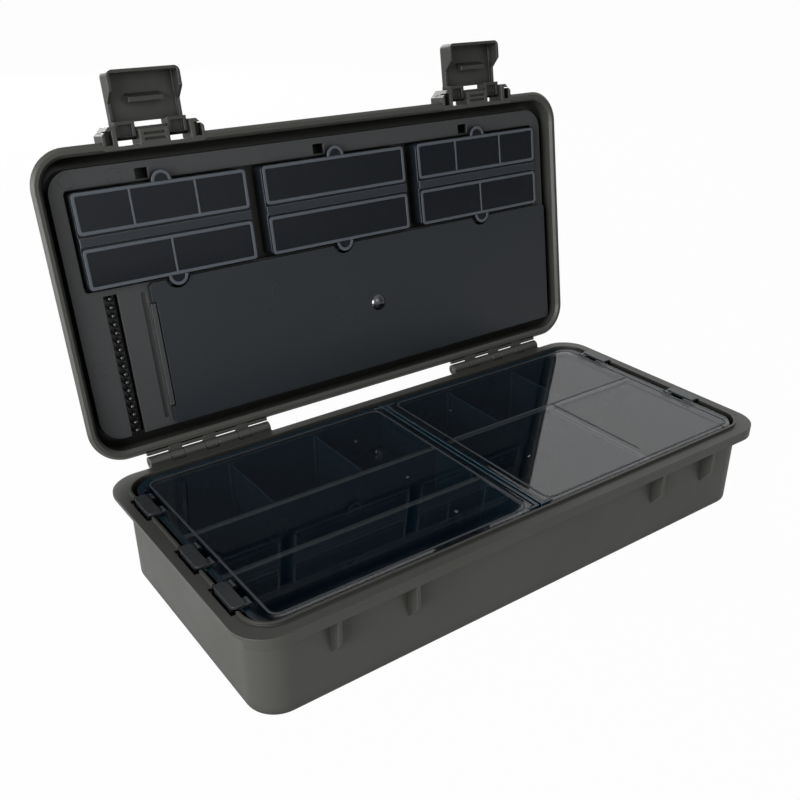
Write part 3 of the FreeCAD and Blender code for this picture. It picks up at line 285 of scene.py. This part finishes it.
# ---- The pins
# Drawn stainless wire in the hinges and latches. The die leaves faint lines along it, which stretch its
# highlights lengthwise. They are drawn coarser than the real ones, so that they show.
PIN_LINE = 0.3 * MM
PIN_RUN = 50.0 * MM
pin_steel, pin_tree, pin_shader = blank("drawn_stainless_pin")
pin_place = add(pin_tree, "ShaderNodeTexCoord").outputs["Object"]
pin_spread = add(pin_tree, "ShaderNodeMapping", {"Vector": pin_place,
                                                 "Scale": (1 / PIN_RUN, 1 / PIN_LINE, 1 / PIN_LINE)})
pin_lines = add(pin_tree, "ShaderNodeTexNoise", {"Vector": pin_spread.outputs["Vector"], "Scale": 1.0})
pin_gloss = add(pin_tree, "ShaderNodeMapRange", {"Value": pin_lines.outputs["Fac"],
                                                 "To Min": 0.2, "To Max": 0.4})
wire(pin_tree, pin_shader, {"Metallic": 1.0, "Base Color": linear("b8b8b6"),
                            "Roughness": pin_gloss.outputs["Result"]})
dress(pin_steel, "hinge_pin_left", "hinge_pin_right", "latch_pin_left", "latch_pin_right")


# ---- The trays and their dividers
# Smoked-black polystyrene from a polished mould: glossy, nearly black and slightly blue. Its edges are
# painted pale as a painted highlight. The dividers are loose plates of the same plastic, which slide between
# guides on the walls.
tray_plastic = moulded("smoked_polystyrene_tray", colour="15323f", cloud="112833", edge_highlight="8c979d",
                       roughness=0.25, grain=1.5, depth=0.003, edge=0.6, ior=1.59, reach=1.5)
dress(tray_plastic, "tray_left", "tray_right", "divider_left_1", "divider_left_2", "divider_right_1",
      "divider_right_2")


# ---- The beads on the trays' walls
# The fixed walls inside each tray end in a rounded bead, moulded with them. It is the tray's own plastic,
# coloured much paler as a painted highlight where its top catches the light.
bead_highlight_plastic = moulded("tray_bead_painted_highlight", colour="6d777b", cloud="646e72", edge_highlight="a3adb2",
                       roughness=0.25, grain=1.5, depth=0.003, edge=0.6, ior=1.59, reach=0.8)
WALL_TOP = 55.1 * MM
BEAD_HALF = 1.7 * MM
BEAD_RISE = 1.4 * MM

# Both ends of each bead's line, in mm.
BEADS = {"left": (((-179.0, 14.4), (-4.2, 14.4)), ((-179.0, -32.1), (-4.2, -32.1))),
         "right": (((4.2, 14.4), (179.0, 14.4)), ((96.9, -82.0), (96.9, 12.8)))}


def up(height):
    """A step along Z."""
    return Vector((0.0, 0.0, height))


for word, rows in BEADS.items():
    for number, ends in enumerate(rows, start=1):
        start, end = flat(*ends[0]), flat(*ends[1])
        across = Vector((0.0, BEAD_HALF, 0.0)) if start.y == end.y else Vector((BEAD_HALF, 0.0, 0.0))
        bead = bmesh.new()
        soft_block(bead, start - across + up(WALL_TOP), end + across + up(WALL_TOP + BEAD_RISE),
                   BEAD_RISE / 3)
        attach(f"wall_bead_{word}_{number}", bead, f"{word}_tray", bead_highlight_plastic)


# ---- The clear tray lids
# Smoked polycarbonate, polished on both faces, so it mirrors the open lid and shows the dividers under it. A
# frosted border runs round each lid, and the right one has two frosted ribs.
BORDER_WIDE = 1.3 * MM
BORDER_RISE = 0.3 * MM
BORDER_CORNER = 6.0 * MM
BORDER_IN = {"outer": 4.6 * MM, "inner": 4.4 * MM, "front": 2.2 * MM, "back": 2.2 * MM}
RIPPLE_SIZE = 30.0 * MM
RIPPLE_DEPTH = 0.01 * MM
DUST_SIZE = 2.0 * MM

# Two opposite corners of each rib, in mm.
LID_RIBS = {"left": (), "right": (((9.0, 9.4), (173.0, 10.6)), ((96.3, -70.0), (97.6, 9.0)))}


def smoked(name, colour, density, roughness, ior, gloss):
    """A thin tinted sheet that is seen through, with a mirror skin and a faint haze from the mould."""
    finish, tree, shader = blank(name)
    place = add(tree, "ShaderNodeTexCoord").outputs["Object"]
    ripple = add(tree, "ShaderNodeTexNoise", {"Vector": place, "Scale": 1 / RIPPLE_SIZE, "Detail": 1.0})
    dust = add(tree, "ShaderNodeTexNoise", {"Vector": place, "Scale": 1 / DUST_SIZE, "Detail": 5.0})
    haze = add(tree, "ShaderNodeMapRange", {"Value": ripple.outputs["Fac"], "From Min": 0.3, "From Max": 0.7,
                                            "To Min": roughness, "To Max": roughness + 0.02})
    veil = add(tree, "ShaderNodeMapRange", {"Value": dust.outputs["Fac"], "From Min": 0.35, "From Max": 0.8,
                                            "To Min": density, "To Max": density + 0.01})
    bump = add(tree, "ShaderNodeBump", {"Height": ripple.outputs["Fac"], "Distance": RIPPLE_DEPTH,
                                        "Strength": 0.5})
    wire(tree, shader, {"IOR": ior, "Specular IOR Level": gloss, "Base Color": linear(colour),
                        "Roughness": haze.outputs["Result"], "Alpha": veil.outputs["Result"],
                        "Normal": bump.outputs["Normal"]})
    return finish


clear_lid = smoked("smoked_clear_polycarbonate", colour="0a1826", density=0.32, roughness=0.02, ior=2.1,
                   gloss=1.0)
dress(clear_lid, "tray_lid_left", "tray_lid_right")
frosted_rib = moulded("frosted_lid_rib", colour="31373c", cloud="2b3136", edge_highlight="6d7479",
                      roughness=0.5, grain=0.8, depth=0.01, edge=0.3)
for side, word in ((-1, "left"), (1, "right")):
    low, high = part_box(f"tray_lid_{word}")
    near, far = BORDER_IN["inner"], BORDER_IN["outer"]
    start = Vector((low.x + (far if side < 0 else near), low.y + BORDER_IN["front"], 0.0))
    end = Vector((high.x - (near if side < 0 else far), high.y - BORDER_IN["back"], 0.0))
    outer = rounded(start, end, BORDER_CORNER, high.z)
    inner = rounded(start + both_ways(BORDER_WIDE), end - both_ways(BORDER_WIDE), BORDER_CORNER - BORDER_WIDE,
                    high.z)
    border = bmesh.new()
    band(border, outer, inner, BORDER_RISE, BORDER_RISE / 2)
    attach(f"tray_lid_border_{word}", border, f"{word}_tray_lid", frosted_rib)
    for number, (start, end) in enumerate(LID_RIBS[word], start=1):
        rib = bmesh.new()
        soft_block(rib, flat(*start) + up(high.z), flat(*end) + up(high.z + BORDER_RISE), BORDER_RISE / 3)
        attach(f"tray_lid_rib_{word}_{number}", rib, f"{word}_tray_lid", frosted_rib)


# ---- The bit boxes
# Three shallow boxes that clip into a recess of the liner, each split by a bar between its two lids. They are
# smoked polypropylene from a smooth mould: dark, slightly blue and glossy, with thin edges painted pale as a
# painted highlight.
box_plastic = moulded("smoked_polypropylene_box", colour="1f252c", cloud="1b2127", edge_highlight="a0a5aa",
                      roughness=0.35, grain=1.0, depth=0.004, edge=0.7)
dress(box_plastic, "bit_box_left", "bit_box_middle", "bit_box_right")


# ---- The bit boxes' flip lids
# Two small lids of smoked polypropylene on each box, which turn on a moulded film. They are darker and duller
# than the tray lids, and carry a frosted rim, ribs over the cell walls and the edge of a round thumb tab.
TAB_REACH = 6.5 * MM
TAB_STEPS = 14
RIM_IN = 0.25 * MM
RIM_WIDE = 1.9 * MM
RIM_RISE = 0.3 * MM
RIM_CORNER = 2.2 * MM
RIM_HOLE_CORNER = RIM_CORNER - 0.6 * RIM_WIDE
HINGE_CLEAR = 0.7 * MM
CELL_RIB_HALF = RIM_WIDE / 3
CELL_OFFSET = 20.5 * MM
CELL_RIBS = {("left", "upper"): (-CELL_OFFSET, CELL_OFFSET), ("left", "lower"): (0.0,),
             ("right", "upper"): (-CELL_OFFSET, CELL_OFFSET), ("right", "lower"): (0.0,)}
flip_lid = smoked("smoked_clear_flip_lid", colour="11171f", density=0.72, roughness=0.08, ior=1.5, gloss=0.38)
frosted_rim = moulded("frosted_flip_rim", colour="52585f", cloud="4a5057", edge_highlight="868b90",
                      roughness=0.35, grain=0.8, depth=0.004, edge=0.4)


def lying(name):
    """A lid node's lowest and highest corners in the axes of the lid as it lies on its back."""
    places = [lid_turn.inverted() @ vertex.co for vertex in frame["nodes"][name].data.vertices]
    low = Vector([min(place[axis] for place in places) for axis in range(3)])
    high = Vector([max(place[axis] for place in places) for axis in range(3)])
    return low, high


for word in ("left", "middle", "right"):
    for row in ("upper", "lower"):
        dress(flip_lid, f"flip_{word}_{row}")
        body = f"{word}_{row}_flip"
        low, high = lying(f"flip_{word}_{row}")
        if row == "upper":
            high.y -= TAB_REACH
            low.y += HINGE_CLEAR
        else:
            low.y += TAB_REACH
            high.y -= HINGE_CLEAR
        middle = (low.x + high.x) / 2
        inset = both_ways(RIM_IN)
        thick = inset + both_ways(RIM_WIDE)
        outer = rounded(low + inset, high - inset, RIM_CORNER, high.z)
        inner = rounded(low + thick, high - thick, RIM_HOLE_CORNER, high.z)
        rim = bmesh.new()
        band(rim, outer, inner, RIM_RISE, RIM_RISE / 2)
        for place in CELL_RIBS.get((word, row), ()):
            soft_block(rim, Vector((middle + place - CELL_RIB_HALF, low.y + RIM_WIDE, high.z)),
                       Vector((middle + place + CELL_RIB_HALF, high.y - RIM_WIDE, high.z + RIM_RISE)),
                       RIM_RISE / 3)
        attach(f"flip_rim_{word}_{row}", rim, body, frosted_rim, lid_turn)
        start = 0.0 if row == "upper" else math.pi
        turns = [start + math.pi * step / TAB_STEPS for step in range(TAB_STEPS + 1)]
        centre = Vector((middle, high.y if row == "upper" else low.y, high.z))
        outer, inner = [[centre + reach * Vector((math.cos(turn), math.sin(turn), 0.0)) for turn in turns]
                        for reach in (TAB_REACH - RIM_IN, TAB_REACH - RIM_IN - RIM_WIDE)]
        tab = bmesh.new()
        band(tab, outer, inner, RIM_RISE, RIM_RISE / 2, closed=False)
        attach(f"flip_tab_{word}_{row}", tab, body, frosted_rim, lid_turn)


# ---- The gate marks
# Small low domes on the clear tray lids, left where the plastic flowed into the mould and was snapped off.
# They are the lids' own polished polycarbonate, so each shows as a point of light.
GATE_RADIUS = 1.3 * MM
GATE_RISE = 0.35 * MM

# The marks' centres, in mm.
GATES = {"left": ((-44.0, 45.5), (-44.0, -11.5), (-44.0, -59.0)), "right": ((33.5, 44.5), (33.5, -35.7))}
for word, places in GATES.items():
    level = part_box(f"tray_lid_{word}")[1].z
    for number, (x, y) in enumerate(places, start=1):
        squashed = Matrix.Diagonal((1.0, 1.0, GATE_RISE / GATE_RADIUS, 1.0))
        shape = Matrix.Translation((x * MM, y * MM, level)) @ squashed
        gate = bmesh.new()
        bmesh.ops.create_uvsphere(gate, u_segments=20, v_segments=12, radius=GATE_RADIUS, matrix=shape)
        attach(f"gate_mark_{word}_{number}", gate, f"{word}_tray_lid", clear_lid)


# ---- The snap clips
# Five springy tabs of moulded acetal on the ends of the clear tray lids. Each turns on two small ears, and
# its toe catches under the tray's rim. Acetal is slippery, so the clips are smooth and have a soft shine.
clip_plastic = moulded("satin_acetal_clip", colour="393c3f", cloud="323538", edge_highlight="74787a",
                       roughness=0.3, grain=1.0, depth=0.01, edge=0.4)
dress(clip_plastic, *[name for name in frame["nodes"] if name.startswith("clip_")])


# ---- The storage panel and its knob
# A lift-off cover of smooth polystyrene over the space in the lid, dark and evenly satin. The knob is plastic
# plated with bright chrome, so it is a small curved mirror.
panel_plastic = moulded("smooth_styrene_panel", colour="1f2429", cloud="1b2025", edge_highlight="50555c",
                        roughness=0.3, grain=1.2, depth=0.004, edge=0.4)
dress(panel_plastic, "lid_panel")
knob_chrome, knob_tree, knob_shader = blank("bright_chrome_knob")
wire(knob_tree, knob_shader, {"Metallic": 1.0, "Base Color": linear("55575a"), "Roughness": 0.08})
dress(knob_chrome, "panel_knob")


# ---- The studio floor
# A wide sheet of pale matt paper, just under the box. The camera sees it evenly lit, also through the clear
# lids, and reflections find it dimmer.
FLOOR_GAP = 0.2 * MM
FLOOR_HALF = 30.0
FLOOR_DIM, FLOOR_BRIGHT = 0.35, 0.98


def looked_at(tree):
    """The light path's outputs, and 1 for a ray from the camera, a reflection or a clear piece."""
    ray = add(tree, "ShaderNodeLightPath").outputs
    direct = add(tree, "ShaderNodeMath", {0: ray["Is Camera Ray"], 1: ray["Is Glossy Ray"]},
                 operation="MAXIMUM")
    seen = add(tree, "ShaderNodeMath", {0: direct.outputs[0], 1: ray["Is Transmission Ray"]},
               operation="MAXIMUM")
    return ray, seen.outputs[0]


floor_mesh = bmesh.new()
bmesh.ops.create_grid(floor_mesh, x_segments=1, y_segments=1, size=FLOOR_HALF)
floor_data = bpy.data.meshes.new("studio_floor")
floor_mesh.to_mesh(floor_data)
floor_mesh.free()
floor = bpy.data.objects.new("studio_floor", floor_data)
bpy.context.scene.collection.objects.link(floor)
floor.location.z = -FLOOR_GAP
paper, paper_tree, paper_shader = blank("pale_paper")
wire(paper_tree, paper_shader, {"Base Color": linear("dcdcdc"), "Roughness": 0.9, "Specular IOR Level": 0.0})
paper_ray, paper_seen = looked_at(paper_tree)
paper_light = add(paper_tree, "ShaderNodeMapRange", {"Value": paper_ray["Is Camera Ray"],
                                                     "To Min": FLOOR_DIM, "To Max": FLOOR_BRIGHT})
paper_part = add(paper_tree, "ShaderNodeMath", {0: paper_seen, 1: paper_light.outputs["Result"]},
                 operation="MULTIPLY")
paper_glow = add(paper_tree, "ShaderNodeEmission", {"Color": linear("ffffff"), "Strength": 1.0})
paper_mix = add(paper_tree, "ShaderNodeMixShader", {0: paper_part.outputs[0], 1: paper_shader.outputs[0],
                                                    2: paper_glow.outputs[0]})
wire(paper_tree, paper_tree.nodes["Material Output"], {"Surface": paper_mix.outputs[0]})
floor.data.materials.append(paper)


# ---- The studio's backdrop and lamps
# A white backdrop and three softboxes: a strong one on the left, a weak one in front and one behind.
# Reflections find the backdrop bright on the left and behind, and dim to the front right.
BACKDROP_DIM = 0.3
BACKDROP_LEFT = 0.9
BACKDROP_BEHIND = 1.0
AMBIENT = 0.06
world = bpy.data.worlds.new("studio")
bpy.context.scene.world = world
world.use_nodes = True
world_tree = world.node_tree
world_ray, world_seen = looked_at(world_tree)
world_way = add(world_tree, "ShaderNodeTexCoord").outputs["Generated"]
world_axes = add(world_tree, "ShaderNodeSeparateXYZ", {"Vector": world_way}).outputs
behind = add(world_tree, "ShaderNodeMapRange", {"Value": world_axes["Y"], "From Min": -0.5, "From Max": 0.3,
                                                "To Min": BACKDROP_DIM, "To Max": BACKDROP_BEHIND})
leftward = add(world_tree, "ShaderNodeMapRange", {"Value": world_axes["X"], "From Min": 0.6, "From Max": 0.2,
                                                  "To Min": BACKDROP_DIM, "To Max": BACKDROP_LEFT})
brighter = add(world_tree, "ShaderNodeMath", {0: leftward.outputs["Result"], 1: behind.outputs["Result"]},
               operation="MAXIMUM")
backdrop = add(world_tree, "ShaderNodeMath", {0: world_ray["Is Camera Ray"], 1: brighter.outputs[0]},
               operation="MAXIMUM")
level = add(world_tree, "ShaderNodeMix", {"Factor": world_seen, "A": AMBIENT, "B": backdrop.outputs[0]})
wire(world_tree, world_tree.nodes["Background"], {"Color": linear("ffffff"), "Strength": level.outputs[0]})


def softbox(name, place, target, width, watts):
    """A square softbox that faces a point."""
    light = bpy.data.lights.new(name, "AREA")
    light.size = width
    light.energy = watts
    lamp = bpy.data.objects.new(name, light)
    lamp.location = place
    lamp.rotation_euler = (Vector(target) - Vector(place)).to_track_quat("-Z", "Y").to_euler()
    bpy.context.scene.collection.objects.link(lamp)


softbox("left_softbox", place=(-1.9, -0.8, 0.6), target=(0.0, 0.0, 0.1), width=1.3, watts=58.0)
softbox("front_softbox", place=(-0.4, -2.2, 1.5), target=(0.0, 0.0, 0.1), width=1.2, watts=6.0)
softbox("back_softbox", place=(0.3, 2.3, 0.9), target=(0.0, 0.1, 0.1), width=1.2, watts=26.0)


# ---- The camera
# A normal lens at the front left, a little higher than the open lid and looking down into the box. Its shift
# moves the box in the frame without turning the camera.
CAMERA_PLACE = (-330.7 * MM, -407.7 * MM, 349.2 * MM)
LOOKING_DOWN = 28.57
TURNED_RIGHT = 36.2
lens = bpy.data.cameras.new("camera")
lens.sensor_width = 36.0
lens.lens = 42.066
lens.shift_x = -0.0144
lens.shift_y = 0.0553
camera = bpy.data.objects.new("camera", lens)
camera.location = CAMERA_PLACE
camera.rotation_euler = (math.radians(90 - LOOKING_DOWN), 0.0, math.radians(-TURNED_RIGHT))
scene = bpy.context.scene
scene.view_settings.view_transform = "Standard"
scene.collection.objects.link(camera)
scene.camera = camera
